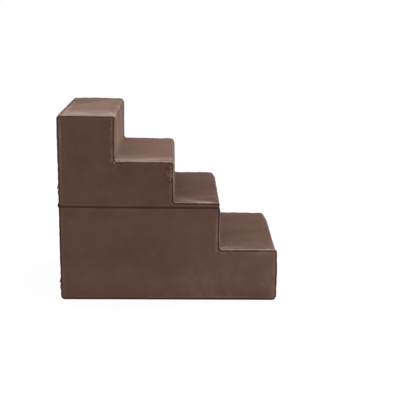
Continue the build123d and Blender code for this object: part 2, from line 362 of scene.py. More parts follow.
def grip_fabric():
    """The covers' bases: a dark coated fabric."""
    nodes = Finish("grip_fabric")
    grain = nodes.noise(700, 3, 0.6)
    worn = nodes.noise(16, 4, 0.6)
    tone = nodes.total(nodes.between(grain, -0.2, 0.2), nodes.between(worn, 0.2, 0.8))
    nodes.colour(tone, (0, (0.060, 0.028, 0.020)), (1, (0.098, 0.048, 0.034)))
    nodes.bump(grain, 0.0003, 0.6)
    nodes.set(Roughness=0.85, Sheen_Weight=0.2, Sheen_Roughness=0.4, Specular_IOR_Level=0.2)
    return nodes.material


def moulded(name, grain, dark, light, roughness, depth):
    """The nylon of the zip teeth and the rubber of the grip dots, a little worn."""
    nodes = Finish(name)
    worn = nodes.noise(grain, 3, 0.6)
    nodes.colour(worn, (0.3, dark), (0.7, light))
    nodes.roughness(worn, *roughness)
    nodes.bump(worn, depth, 0.4)
    return nodes.material


def foam():
    """Cream polyurethane foam with open pores."""
    nodes = Finish("foam")
    aged = nodes.noise(9, 3, 0.6)
    nodes.colour(aged, (0.3, (0.62, 0.53, 0.34)), (0.7, (0.74, 0.66, 0.47)))
    nodes.bump(nodes.cells(600), 0.0006, 0.8)
    nodes.set(Roughness=0.95)
    return nodes.material


def pile(name, dark, light, scale):
    """Hook or loop tape: a dense field of small hooks or loops."""
    nodes = Finish(name)
    field = nodes.cells(scale)
    crushed = nodes.noise(40, 4, 0.6)
    tone = nodes.total(nodes.math("MULTIPLY", field, 0.8), nodes.between(crushed, -0.1, 0.3))
    nodes.colour(tone, (0, light), (1, dark))
    nodes.bump(field, -0.0008, 1)
    nodes.set(Roughness=0.85, Specular_IOR_Level=0.15)
    nodes.set(Sheen_Weight=0.12, Sheen_Roughness=0.4, Sheen_Tint=SHEEN_TINT)
    return nodes.material


def thread():
    """Polyester sewing thread, a little paler than the suede."""
    nodes = Finish("thread")
    twist = nodes.bands(700, "DIAGONAL")
    nodes.colour(twist, (0.2, (0.100, 0.054, 0.040)), (0.8, (0.165, 0.098, 0.074)))
    nodes.bump(twist, 0.00008, 0.6)
    nodes.set(Roughness=0.6, Sheen_Weight=0.2)
    return nodes.material


def metal():
    """Aged brass with fine scratches and patches of tarnish."""
    nodes = Finish("zip_metal")
    scratches = nodes.noise(900, 2, 0.7, nodes.stretched((1, 0.08, 1)))
    tarnish = nodes.noise(220, 4, 0.6)
    nodes.colour(tarnish, (0.3, (0.14, 0.10, 0.065)), (0.7, (0.32, 0.235, 0.15)))
    nodes.roughness(scratches, 0.28, 0.5)
    nodes.bump(scratches, 0.00004, 0.3)
    nodes.set(Metallic=1)
    return nodes.material


# The blocks' shapes


class Outline:
    """A side view with round corners and crowned treads, anticlockwise, as complex numbers x + z j.

    It starts on the floor, past the back corner. Its samples are counted by the corners alone, so that
    outlines with other radii match it sample by sample.
    """

    def __init__(self, corners, radii, crowns, inset):
        corners = [complex(*corner) for corner in corners]
        places, outwards = [], []
        for index, corner in enumerate(corners):
            next_index = (index + 1) % len(corners)
            following = corners[next_index]
            before = (corner - corners[index - 1]) / abs(corner - corners[index - 1])
            after = (following - corner) / abs(following - corner)
            sign = 1 if (after / before).imag > 0 else -1
            radius = radii[index]
            turn = np.linspace(0, 1, ARC_SAMPLES, endpoint=False)
            outward = -1j * before * np.exp(1j * sign * turn * math.pi / 2)
            places.append(corner + radius * (after - before) + sign * radius * outward)
            outwards.append(outward)
            begin = corner + radius * after
            end = following - radii[next_index] * after
            share = np.linspace(0, 1, round(abs(following - corner) / OUTLINE_STEP), endpoint=False)
            swell = crowns[index] * (1 - np.cos(2 * math.pi * share)) / 2
            places.append(begin + (end - begin) * share - 1j * after * swell)
            outwards.append(np.full(len(share), -1j * after))
        self.outwards = np.roll(np.concatenate(outwards), -ARC_SAMPLES)
        self.places = np.roll(np.concatenate(places), -ARC_SAMPLES) - inset * self.outwards


class Block:
    """A block with crisp corners at the near side, softer ones in the middle and the softest far away.

    Its crowns fade out towards both sides, and its long edges are crisper at the blocks' joint.
    """

    near_reach, far_reach = 0.045, 0.100
    joint_reach = 0.0025
    blur = 20
    rows_per_radian = 5

    def __init__(self, corners, near_radii, middle_radii, far_radii, crowns, inset=0, edge=EDGE_RADIUS):
        self.edge = edge
        self.half = HALF_WIDTH - inset
        self.flat_half = self.half - edge
        level = [0] * len(crowns)
        self.near, self.middle, self.far = (
            Outline(corners, np.maximum(radii, inset + edge + SEAM_CLEARANCE), swells, inset)
            for radii, swells in ((near_radii, level), (middle_radii, crowns), (far_radii, level))
        )
        self.count = len(self.middle.places)
        self.index = np.arange(self.count)
        at_joint = np.abs(self.middle.places.imag - JOINT) < self.joint_reach + inset
        edges = np.where(at_joint, min(JOINT_EDGE, edge), edge)
        window = np.ones(2 * self.blur + 1) / (2 * self.blur + 1)
        self.edges = np.convolve(np.pad(edges, self.blur, "wrap"), window, "valid")
        lengths = np.abs(np.diff(self.middle.places, append=self.middle.places[0]))
        bends = np.abs(np.angle(np.roll(self.middle.outwards, -1) / self.middle.outwards))
        rows = lengths / PANEL_SPACING + bends * self.rows_per_radian
        self.effort, self.travel = (np.append(0, np.cumsum(steps)) for steps in (rows, lengths))

    def at(self, index, y):
        """Places and outward directions for sample positions and widths, arrays of one shape."""
        near = fade(y + HALF_WIDTH, self.near_reach)
        far = fade(HALF_WIDTH - y, self.far_reach)

        def mixed(*loops):
            crisp, middle, soft = (self.sampled(loop, index) for loop in loops)
            return middle + near * (crisp - middle) + far * (soft - middle)

        outward = mixed(self.near.outwards, self.middle.outwards, self.far.outwards)
        return mixed(self.near.places, self.middle.places, self.far.places), outward / np.abs(outward)

    def sampled(self, loop, index):
        """A closed loop's values at sample positions."""
        return np.interp(index % self.count, np.arange(self.count + 1), np.append(loop, loop[0]))

    def surface(self, index, reach):
        """Points and normals of the block at sample positions and distances across it from its middle."""
        over = np.clip(np.abs(reach) - self.flat_half, 0, None) / self.edge
        edge = self.sampled(self.edges, index)
        flat = np.minimum(np.abs(reach) / self.flat_half, 1) * (self.half - edge)
        y = np.sign(reach) * (flat + edge * np.sin(over))
        place, outward = self.at(index, y)
        place = place - outward * edge * (1 - np.cos(over))
        points = np.column_stack((place.real, y, place.imag))
        lean = np.cos(over)
        normals = np.column_stack((outward.real * lean, np.sign(reach) * np.sin(over), outward.imag * lean))
        return points, normals

    def where(self, wanted):
        """The first sample whose place in the middle is wanted."""
        return int(np.argmax(wanted))

    def spread(self, start, end):
        """Sample positions from start to end, closer together round the corners and at both ends."""
        first, last = np.interp([start, end], np.arange(self.count + 1), self.travel)
        low, high = np.interp([first + EDGE_END, last - EDGE_END], self.travel, self.effort)
        middle = np.interp(np.linspace(low, high, round(high - low) + 1), self.effort, self.travel)
        every = np.concatenate((first + EDGE_STEPS, middle, (last - EDGE_STEPS)[::-1]))
        return np.interp(every, self.travel, np.arange(self.count + 1)), every

    def around(self):
        """Sample positions all round."""
        efforts = np.linspace(0, self.effort[-1], round(self.effort[-1]), endpoint=False)
        return np.interp(efforts, self.effort, np.arange(self.count + 1))


def lower_sizes():
    """The lower block's corners, their near, middle and far radii, and the crowns after them."""
    corners = [(BACK, 0), (FRONT, 0), (FRONT, FIRST_LEVEL), (SECOND_NOSE, FIRST_LEVEL)]
    corners += [(SECOND_NOSE, LOWER_ROOF), (BACK, LOWER_ROOF)]
    near = [0.012, 0.013, 0.0065, 0.008, 0.0042, 0.007]
    middle = [0.012, 0.013, 0.013, 0.011, 0.0050, 0.008]
    far = [0.012, 0.013, 0.017, 0.011, 0.0060, 0.009]
    return corners, near, middle, far, [0, 0, TREAD_CROWN, 0, 0, 0]


def upper_sizes():
    """The same for the upper block."""
    corners = [(BACK, UPPER_FLOOR), (SECOND_NOSE, UPPER_FLOOR), (SECOND_NOSE, SECOND_LEVEL)]
    corners += [(THIRD_NOSE, SECOND_LEVEL), (THIRD_NOSE, THIRD_LEVEL), (TOP_NOSE, THIRD_LEVEL)]
    corners += [(TOP_NOSE, TOP_LEVEL), (BACK, TOP_LEVEL)]
    near = [0.007, 0.0042, 0.0055, 0.006, 0.0055, 0.007, 0.0055, 0.010]
    middle = [0.008, 0.0045, 0.0065, 0.009, 0.0085, 0.010, 0.0090, 0.009]
    far = [0.009, 0.0045, 0.0078, 0.009, 0.0105, 0.010, 0.0105, 0.010]
    return corners, near, middle, far, [0, 0, TREAD_CROWN, 0, TREAD_CROWN, 0, TREAD_CROWN, 0]


# Relief, tone, and painted light and shade


def smooth(share):
    """0 below 0, 1 above 1 and an even S between them."""
    share = np.clip(share, 0, 1)
    return share * share * (3 - 2 * share)


def fade(distance, reach):
    """1 at no distance and 0 beyond the reach, with an even S between them."""
    return smooth(1 - distance / reach)


def fall(distance, reach):
    """1 at a seam and 0 beyond its reach, steepest at the seam."""
    return np.clip(1 - distance / reach, 0, 1) ** 2


def welt(distance, place, width):
    """A low ridge along a seam."""
    return np.exp(-(((distance - place) / width) ** 2))


def ripples(points, size, seed, stretch=(1, 1, 1)):
    """Smooth noise from -1 to 1 at each point."""
    shift = Vector((seed * 3.7, seed * 1.3, seed * 7.1))
    scaled = points * (np.array(stretch) / size)
    return np.array([noise.noise(Vector(point) + shift) for point in scaled])


def roll(distance, upright=1):
    """How deep a panel's edge turns into its seam, deepest in upright ones."""
    short = np.clip(1 - distance / SEAM_ROLL, 0, 1)
    return SEAM_ROLL * (1 - np.sqrt(1 - short**2)) * (0.65 + 0.35 * upright)


def gathered(points):
    """Where the covers are gathered most: at nose 3 and the inner corners of treads 1 and 3, all near."""
    amount = np.zeros(len(points))
    for share, centre, spread in (
        (1.0, (THIRD_NOSE, -HALF_WIDTH, THIRD_LEVEL - 0.026), (0.019, 0.020, 0.032)),
        (0.4, (SECOND_NOSE + 0.018, -HALF_WIDTH, FIRST_LEVEL), (0.030, 0.050, 0.014)),
        (0.7, (TOP_NOSE + 0.008, -HALF_WIDTH, THIRD_LEVEL), (0.018, 0.030, 0.014)),
    ):
        amount += share * np.exp(-((((points - centre) / spread) ** 2).sum(axis=1)))
    return amount


def puckered(points, distance, gather, height, reach, pull, stretch, seed):
    """Small puckers along the seams, fewest at the back and most where the cover is gathered."""
    amount = 1 - 0.6 * fade(points[:, 0] - BACK, 0.03) + pull * gather
    return height * ripples(points, 0.018, seed + 1, stretch) * fall(distance, reach) * amount


def riser_folds(points, normals):
    """Soft upright folds, deepest in the highest riser."""
    share = np.interp(points[:, 2], (SECOND_LEVEL, THIRD_LEVEL + 0.01), (0.3, 1))
    return 0.0012 * np.clip(normals[:, 0], 0, 1) * share * ripples(points, 0.032, 77, (1, 1, 0.18))


def strip_relief(points, normals, to_side, distance, gather, crease, seed):
    """How far a strip stands out: a pillow, puckers, drags and a sway, and the ridge beside its seams."""
    pillow = -0.0014 * fall(to_side, 0.034)
    puckers = puckered(points, distance, gather, 0.0013, 0.034, 1.8, (1, 0.5, 1), seed)
    drag = 0.0007 * ripples(points, 0.060, seed + 2) * fall(distance, 0.09)
    drag += riser_folds(points, normals)
    sway = 0.0006 * ripples(points, 0.120, seed + 3)
    ridge = 0.0005 * welt(distance, RIDGE_PLACE, 0.0014)
    height = pillow + crease * (puckers + drag + sway) + ridge
    facing = (points[:, 2] > LOWER_ROOF - 0.002) & (points[:, 2] < UPPER_FLOOR)
    return np.where(facing, 0, height) - roll(distance, np.abs(normals[:, 0]))


def side_relief(points, distance, to_edge, upright, gather, seed):
    """How far a side stands out: puckers, drags and a sway, and the ridge beside its seams."""
    puckers = puckered(points, distance, gather, 0.0011, 0.030, 2.0, (1, 1, 0.8), seed)
    drag = 0.0008 * ripples(points, 0.060, seed + 2, (1, 1, 0.6)) * fall(distance, 0.09)
    sway = 0.0010 * ripples(points, 0.130, seed + 3, (0.8, 1, 1.2))
    loose = np.clip(to_edge / 0.02, 0, 1)
    ridge = 0.0009 * welt(distance, RIDGE_PLACE, 0.0015)
    return puckers + (drag + sway) * loose + ridge - roll(distance, upright)


def base_wave(points):
    """How the base seam rises and falls along the block."""
    return BASE_WAVE * ripples(points * (1, 0, 0), 0.050, 3)


def seam_tone(points, distance, rub_line_highlight, place, upright):
    """Painted shade in the seams, most in upright ones, a painted highlight on the rub line beside them and
    painted shade in the gap at the blocks' joint.
    """
    # Painted shade in the gap at the blocks' joint, which also calms the seams' marks there.
    joint = welt(points[:, 2], JOINT, 0.008)
    line = welt(points[:, 2], JOINT, 0.0030)
    # A painted highlight on the rub line, where the turned edge catches the light.
    painted_highlight = rub_line_highlight * (1 + 0.9 * ripples(points, 0.022, 91)) * welt(distance, place, 0.0012)
    # Painted shade in the seams, deeper at the high risers.
    depth = np.interp(points[:, 2], (SECOND_LEVEL, THIRD_LEVEL + 0.02), (0.5, 0.9))
    depth *= 1 + 0.8 * ripples(points, 0.016, 92)
    shaded = SEAM_SHADE * (0.12 + depth * upright) * welt(distance, 0, 0.0013)
    return (painted_highlight - shaded) * (1 - joint) - 0.04 * joint - 0.20 * line


def brushed_nap(points, normals):
    """Brushed fibres and painted light: a pale wedge where the fibres on the top tread are brushed the
    other way, the top tread painted paler towards the near side, a painted level of light for each tread
    and painted highlights in riser 4's folds.
    """
    x, y, z = points.T
    on_top = (z > TOP_LEVEL - 0.01) * np.clip(normals[:, 2], 0, 1)
    slant = (x - BACK) * 0.9 - (y + HALF_WIDTH) * 0.55 + 0.085
    wedge = 0.50 * on_top * smooth(slant / 0.03 + 0.5)
    # Painted light: the top tread paler towards the near side.
    wedge += on_top * (0.10 - 0.16 * smooth((y + HALF_WIDTH) / (2 * HALF_WIDTH)))
    # Painted light and shade: a level for each tread, palest at tread 3 and darkest at tread 2.
    rise = np.interp(z, (0, *TREADS), (0, -0.10, -0.29, 0.14, -0.27))
    # Painted highlights in the folds of riser 4.
    folds = 0.8 + 1.4 * ripples(points, 0.045, 77, (1, 1.6, 0.25))
    painted_riser_highlight = 0.36 * folds * np.clip(normals[:, 0], 0, 1) * smooth((z - THIRD_LEVEL) / 0.04)
    return wedge + rise + painted_riser_highlight


def strip_nap(points, normals, distance, gather, seed):
    """A strip's tone: a painted highlight towards the near side, brushed strokes, painted shade and painted
    highlights along its seams, and painted highlights where the cover is gathered.
    """
    level = np.clip(normals[:, 2], 0, 1)
    strokes = 0.14 * ripples(points @ BRUSH, 0.055, seed + 5, (0.45, 2.0, 1)) * (0.4 + 0.6 * level)
    # Painted highlight along each tread's near side, fading inwards, as strong as listed for each tread.
    tread_highlight_strength = np.interp(points[:, 2], TREADS, (0.68, 0.98, 0.95, 0.98))
    uneven = 0.8 + 0.9 * ripples(points, 0.040, seed + 4, (0.7, 1.5, 1))
    inside = 0.2 + 0.8 * smooth((distance - 0.0055) / 0.003)
    painted_highlight = tread_highlight_strength * fall(points[:, 1] + HALF_WIDTH, 0.110) * uneven * level * inside
    # Painted shade in the seams and a painted highlight on the rub line beside them.
    rim = seam_tone(points, distance, 0.90, 0.0050 + 0.0030 * level, np.abs(normals[:, 0]))
    # Painted highlights where the cover is gathered.
    return painted_highlight + rim + strokes + brushed_nap(points, normals) + 0.30 * gather


def side_nap(points, distance, upright):
    """A side's tone, all painted light: painted highlights beside its seams, most at the high risers,
    painted shade in them, and painted light that lifts the side towards the front, low down and near the
    floor.
    """
    x, _, z = points.T
    # Painted highlight along the upright edges, strongest at the high risers.
    edge_highlight = np.interp(z, (FIRST_LEVEL, THIRD_LEVEL, TOP_LEVEL), (0.10, 0.30, 0.60))
    rim = seam_tone(points, distance, 0.06 + edge_highlight * upright, RIDGE_PLACE, upright)
    # Painted highlight beside all seams.
    rim += 0.10 * fall(distance, 0.016)
    # Painted light: paler towards the front and low down, below the lower block's roof, and near the floor
    # at the back.
    painted_light_below = 0.20 * smooth((x + 0.16) / 0.45) * smooth((THIRD_LEVEL - z) / 0.25)
    painted_light_below += 0.07 * smooth((LOWER_ROOF - z) / 0.05)
    painted_light_below += 0.15 * smooth((0.13 - z) / 0.08) * (1 - smooth(x / 0.30))
    return rim + painted_light_below


def covered(points):
    """1 on the back where a zip tape or the hinge strip lies on the cover, 0 elsewhere."""
    amount = np.zeros(len(points))
    for nodes in (["lower_zip_tapes"], ["upper_zip_tapes"], ["lower_hinge_leaf", "upper_hinge_leaf"]):
        low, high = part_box(nodes[0])[0].z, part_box(nodes[-1])[1].z
        outside = np.maximum(low - points[:, 2], points[:, 2] - high)
        amount = np.maximum(amount, fade(outside - 0.002, 0.008))
    beside = fade(np.abs(points[:, 1]) - TAPE_HALF, 0.004)
    return np.where(points[:, 0] < BACK + 0.004, amount * beside, 0)


def pinched(points, low, high):
    """Draws the back panels' slot together beside the zip's stops and past them, where it is sewn."""
    middle, half = (low + high) / 2, (high - low) / 2
    rise = points[:, 2] - middle
    past = smooth((np.abs(points[:, 1]) - STOP_HALF) / STOP_LENGTH + 1)
    share = past * fade(np.abs(rise) - half, 0.012)
    at_back = points[:, 0] < BACK + 0.008
    points[:, 2] -= np.where(at_back, np.sign(rise) * (half - SEAM_CLEARANCE) * share, 0)
    return points


def settled(points):
    """The covers as they stand in the photograph.

    The low treads rise a little and the high ones sink a little towards the far side, their far corners sag
    where the foam doesn't fill them, and the blocks' rims meet round the hidden hook and loop strips.
    """
    x, y, z = points.T.copy()
    across = smooth((y + HALF_WIDTH) / (2 * HALF_WIDTH))
    ahead = smooth((x - BACK - 0.05) / 0.18)
    levels = (0, FIRST_LEVEL, LOWER_ROOF, UPPER_FLOOR, SECOND_LEVEL, THIRD_LEVEL, TOP_LEVEL)
    points[:, 2] += np.interp(z, levels, (0, 0.0040, 0, 0, 0.0028, -0.0016, -0.0016)) * across * ahead
    far = fade(HALF_WIDTH - y, FAR_REACH)
    sagging = ((SECOND_NOSE, SECOND_LEVEL, 0.040, 0.003), (FRONT, FIRST_LEVEL, 0.070, 0.009))
    for nose, level, deep, skew in sagging:
        turn = np.clip((x - nose + FAR_ROUND) / FAR_ROUND, 0, 1)
        sag = FAR_SAG * (1 - np.sqrt(1 - turn**2)) * far
        share = smooth((z - level + deep) / deep)
        beside = (z < level + 0.01) & (x < nose + 0.01) & (x > nose - 0.08)
        points[:, 2] -= np.where(beside, sag * share, 0)
        shear = (skew * across - 0.002) * smooth((x - nose + 0.08) / 0.08) * share
        points[:, 0] += np.where(beside, shear, 0)
    past_ends = smooth((np.abs(y) - STRIP_HALF - 0.004) / 0.012)
    past_front = smooth((x - STRIP_FRONT - 0.004) / 0.010)
    below = np.where(z < JOINT, fade(LOWER_ROOF - z, 0.012), 0)
    above = np.where(z > JOINT, fade(z - UPPER_FLOOR, 0.012), 0)
    points[:, 2] += JOINT_SWELL * np.maximum(past_ends, past_front) * (below - above)
    return points


# Mesh making


def new_object(name, points, faces, slot, material):
    mesh = bpy.data.meshes.new(name)
    mesh.from_pydata([tuple(point) for point in points], [], faces)
    mesh.materials.append(material)
    piece = bpy.data.objects.new(name, mesh)
    scene.collection.objects.link(piece)
    return piece


def grid_faces(rows, columns, closed=False):
    faces = []
    for row in range(rows if closed else rows - 1):
        above = (row + 1) % rows
        for column in range(columns - 1):
            here, there = row * columns + column, above * columns + column
            faces.append((here, there, there + 1, here + 1))
    return faces


def ring_faces(rings, sides, first=0):
    """Faces between closed rings of points, numbered from the first."""
    faces = []
    for start in range(first, first + (rings - 1) * sides, sides):
        for corner in range(sides):
            here, there = start + corner, start + (corner + 1) % sides
            faces.append((here, here + sides, there + sides, there))
    return faces


def tube_faces(rings, sides, first):
    """The same, with both ends closed."""
    starts = (first, first + (rings - 1) * sides)
    return ring_faces(rings, sides, first) + [tuple(range(start, start + sides)) for start in starts]


def circle(sides):
    """Cosine and sine for each corner of a ring."""
    angles = [2 * math.pi * corner / sides for corner in range(sides)]
    return [(math.cos(angle), math.sin(angle)) for angle in angles]


def vertices(piece, kind="co"):
    """The places of the piece's vertices, or another vector that each has."""
    values = np.empty(len(piece.data.vertices) * 3)
    piece.data.vertices.foreach_get(kind, values)
    return values.reshape(-1, 3)


def move_points(piece, points):
    piece.data.vertices.foreach_set("co", np.ascontiguousarray(points).reshape(-1))
    piece.data.update()


def write_values(piece, **attributes):
    for name, values in attributes.items():
        attribute = piece.data.attributes.new(name, "FLOAT", "POINT")
        attribute.data.foreach_set("value", np.asarray(values, dtype=np.float32))


def edit_mesh(piece, change):
    """Runs a change on the piece's mesh as a bmesh."""
    mesh = bmesh.new()
    mesh.from_mesh(piece.data)
    change(mesh)
    mesh.to_mesh(piece.data)
    mesh.free()
    piece.data.update()


def face_outward(piece):
    """Turns all faces to one side, which is outward where the mesh is closed."""
    edit_mesh(piece, lambda mesh: bmesh.ops.recalc_face_normals(mesh, faces=mesh.faces))


def face_along(piece, normals):
    """Turns a sheet's faces to the side that these normals look to."""
    if (vertices(piece, "normal") * normals).sum() < 0:
        piece.data.flip_normals()


def shade_smooth(piece):
    piece.data.polygons.foreach_set("use_smooth", [True] * len(piece.data.polygons))


def trim(mesh, cuts, keep_above):
    """Cuts edge loops at some heights and drops what lies beyond the first."""
    for order, height in enumerate(cuts):
        bmesh.ops.bisect_plane(
            mesh,
            geom=mesh.verts[:] + mesh.edges[:] + mesh.faces[:],
            dist=1e-6,
            plane_co=(0, 0, height),
            plane_no=(0, 0, 1 if keep_above else -1),
            clear_inner=order == 0,
        )
    bmesh.ops.remove_doubles(mesh, verts=mesh.verts, dist=1e-6)
    bmesh.ops.dissolve_degenerate(mesh, edges=mesh.edges, dist=1e-6)


def apply_modifiers(piece):
    """Turns the piece's modifiers into plain mesh."""
    evaluated = piece.evaluated_get(bpy.context.evaluated_depsgraph_get())
    mesh = bpy.data.meshes.new_from_object(evaluated)
    piece.modifiers.clear()
    old = piece.data
    piece.data = mesh
    bpy.data.meshes.remove(old)
    mesh.name = piece.name


def slacken(pieces):
    """Lets the covers' spare cloth find its wrinkles, held at the seams and lightly by the foam."""
    starts = []
    for piece, distance in pieces:
        starts.append((vertices(piece), vertices(piece, "normal")))
        held = piece.vertex_groups.new(name="held")
        for index, grip in enumerate(1 - 0.97 * smooth((distance - 0.003) / 0.006)):
            held.add([index], float(grip), "REPLACE")
        settings = piece.modifiers.new("cloth", "CLOTH").settings
        for key, value in CLOTH.items():
            setattr(settings, key, value)
        settings.effector_weights.gravity = 0
    for number in range(1, CLOTH_FRAMES + 1):
        scene.frame_set(number)
    for (piece, _), (before, normals) in zip(pieces, starts):
        apply_modifiers(piece)
        lift = ((vertices(piece) - before) * normals).sum(axis=1)
        most = np.where(lift > 0, CLOTH_RISE, CLOTH_DIP)
        move_points(piece, before + normals * (most * np.tanh(lift / most))[:, None])
        piece.vertex_groups.clear()
    scene.frame_set(1)


def thicken(piece, thickness):
    """Gives a sheet its thickness, inwards."""
    solid = piece.modifiers.new("thickness", "SOLIDIFY")
    solid.thickness = thickness
    solid.offset = -1
    apply_modifiers(piece)
    shade_smooth(piece)


# The covers


def across_spread():
    """Distances across a panel between its side seams, with one at each end of the zip's stops."""
    edge = SEAM_REACH - SEAM_CLEARANCE
    inner = edge - EDGE_END
    middle = np.linspace(-inner, inner, round(2 * inner / PANEL_SPACING) + 1)
    beside_stops = [side * end for side in (-1, 1) for end in (STOP_HALF - STOP_LENGTH, STOP_HALF)]
    middle = np.sort(np.append(middle, beside_stops))
    return np.concatenate((EDGE_STEPS - edge, middle, (edge - EDGE_STEPS)[::-1]))


def strip_panel(name, block, start, end, slot, material, crease, seed):
    """A panel that follows the side view from one sample to another, from side seam to side seam."""
    index, travel = block.spread(start, end)
    reach = across_spread()
    rows, columns = len(index), len(reach)
    points, normals = block.surface(np.repeat(index, columns), np.tile(reach, rows))
    to_side = np.tile(reach[-1] - np.abs(reach), rows)
    to_end = np.repeat(np.minimum(travel - travel[0], travel[-1] - travel), columns)
    distance = np.minimum(to_side, to_end)
    gather = gathered(points)
    under = covered(points)
    height = strip_relief(points, normals, to_side, distance, gather, crease, seed)
    height = height * (1 - under) - 0.0005 * under
    raised = points + normals * height[:, None]
    piece = new_object(name, raised, grid_faces(rows, columns), "suede", material)
    face_along(piece, normals)
    write_values(piece, nap=strip_nap(points, normals, distance, gather, seed), gather=gather)
    move_points(piece, settled(pinched(vertices(piece), *slot)))
    return piece, np.where(under > 0.5, 0, distance)


def side_panel(name, block, side, floor_seam, material, seed):
    """A cover's side: it turns over the long edges to the seams, and ends at the base seam."""
    index = block.around()
    outward = block.surface(index, np.full(len(index), side * block.flat_half))[1][:, [0, 2]]
    quarter = EDGE_RADIUS * (math.pi / 2 - SEAM_ANGLE)
    arcs = [max(step, SEAM_CLEARANCE) for step in EDGE_STEPS if step < quarter * 0.9] + [quarter]
    rings = [block.surface(index, np.full(len(index), side * (SEAM_REACH + arc)))[0] for arc in arcs]
    piece = new_object(name, *side_mesh(rings, outward, side), "suede", material)
    floor_cuts = floor_seam + SEAM_CLEARANCE + np.append(EDGE_STEPS, EDGE_END)
    edit_mesh(piece, lambda mesh: trim(mesh, floor_cuts, True))
    face_outward(piece)
    face_along(piece, np.array((0, side, 0)))
    points, normals = vertices(piece), vertices(piece, "normal")
    to_edge, nearest = seam_distance(points, rings[0][:, [0, 2]], quarter)
    to_base = points[:, 2] - floor_seam - SEAM_CLEARANCE
    distance = np.minimum(to_edge, to_base)
    upright = np.where(to_base < to_edge, 0, np.abs(outward[nearest, 0]))
    gather = gathered(points)
    points = points + normals * side_relief(points, distance, to_edge, upright, gather, seed)[:, None]
    points[:, 2] += base_wave(points) * fall(points[:, 2] - floor_seam, 0.025)
    write_values(piece, nap=side_nap(points, distance, upright), gather=gather)
    move_points(piece, settled(points))
    return piece, distance


def side_mesh(rings, outward, side):
    """Points and faces of a side: rings over its edge and triangles inside the last ring."""
    count = len(outward)
    border = rings[-1][:, [0, 2]]
    inner = filling(border, outward)
    spots = [Vector(spot) for spot in np.concatenate((border, inner))]
    edges = [(here, (here + 1) % count) for here in range(count)]
    _, _, triangles, origins, _, _ = delaunay_2d_cdt(spots, edges, [], 1, 1e-7)
    first = (len(rings) - 1) * count
    faces = ring_faces(len(rings), count)
    faces += [tuple(first + origins[corner][0] for corner in triangle) for triangle in triangles]
    flat = np.column_stack((inner[:, 0], np.full(len(inner), side * HALF_WIDTH), inner[:, 1]))
    return np.concatenate(rings + [flat]), faces


def filling(border, outward):
    """Points inside a border: two rows along it and a triangular grid."""
    low, high = border.min(0), border.max(0)
    rise = PANEL_SPACING * math.sqrt(3) / 2
    grid = []
    for row in range(int((high[1] - low[1]) / rise) + 1):
        start = low[0] + (row % 2) * PANEL_SPACING / 2
        grid += [(x, low[1] + row * rise) for x in np.arange(start, high[0], PANEL_SPACING)]
    row_gap = 0.0009
    kept = []
    for inset, clearance in ((0.0016, 0.0015), (0.0040, 0.0038)):
        for spot in clear_of(border - outward * inset, border, clearance):
            if not kept or np.min(np.hypot(*(np.array(kept) - spot).T)) >= row_gap:
                kept.append(tuple(spot))
    return np.array(kept + [tuple(spot) for spot in clear_of(np.array(grid), border, 0.0066)])


def clear_of(spots, border, clearance):
    """The spots that a closed border holds and that keep their distance from it."""
    inside = np.zeros(len(spots), bool)
    for (x1, y1), (x2, y2) in zip(border, np.roll(border, -1, axis=0)):
        if y1 != y2:
            crosses = (y1 > spots[:, 1]) != (y2 > spots[:, 1])
            inside ^= crosses & (spots[:, 0] < (x2 - x1) * (spots[:, 1] - y1) / (y2 - y1) + x1)
    spots = spots[inside]
    gaps = np.array([np.min(np.hypot(*(border - spot).T)) for spot in spots])
    return spots[gaps > clearance]


def seam_distance(points, seam, quarter):
    """Distance from the side seam over the rounded edge and the flat side, and the nearest seam sample."""
    gaps = np.array([np.hypot(*(seam - spot).T) for spot in points[:, [0, 2]]])
    start = EDGE_RADIUS * (1 - math.cos(SEAM_ANGLE))
    inset = gaps.min(axis=1) + start
    turned = np.arccos(np.clip(1 - inset / EDGE_RADIUS, 0, 1)) - SEAM_ANGLE
    flat = quarter + inset - EDGE_RADIUS
    return np.where(inset < EDGE_RADIUS, turned * EDGE_RADIUS, flat), gaps.argmin(axis=1)


def block_surface(name, block, slot, material):
    """A whole block as one closed surface with rounded long edges."""
    index = block.around()
    quarter = block.flat_half + block.edge * np.linspace(0, math.pi / 2, 6)
    flat = np.linspace(-block.flat_half, block.flat_half, 40)[1:-1]
    reach = np.concatenate((-quarter[::-1], flat, quarter))
    points, _ = block.surface(np.repeat(index, len(reach)), np.tile(reach, len(index)))
    faces = grid_faces(len(index), len(reach), closed=True)
    near = np.arange(len(index)) * len(reach)
    faces += [tuple(near.tolist()), tuple((near + len(reach) - 1).tolist()[::-1])]
    piece = new_object(name, points, faces, slot, material)
    face_outward(piece)
    return piece


def base_tray(name, block, floor, floor_seam, material):
    """A cover's base: flat underneath and turned up all round to the base seam."""
    piece = block_surface(name, block, "grip_base", material)
    top = floor_seam - SEAM_CLEARANCE
    edit_mesh(piece, lambda mesh: trim(mesh, top - EDGE_STEPS, False))
    points, normals = vertices(piece), vertices(piece, "normal")
    flat = np.abs(normals[:, 2]) > 0.8
    height = np.where(flat, 0, -roll(np.clip(top - points[:, 2], 0, None)))
    points = points + normals * height[:, None]
    points[:, 2] += base_wave(points) * np.clip((points[:, 2] - floor) / (floor_seam - floor), 0, 1)
    points[:, 2] = np.maximum(points[:, 2], DOT_HEIGHT)
    move_points(piece, settled(points))
    thicken(piece, BASE_THICKNESS)
    return piece


def foam_core(name, sizes, material):
    """A block's foam slabs, glued into one."""
    block = Block(*sizes, inset=CORE_INSET, edge=CORE_EDGE)
    core = block_surface(f"{name}_foam_core", block, "foam", material)
    move_points(core, settled(vertices(core)))
    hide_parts(*SLABS[name])
    return core


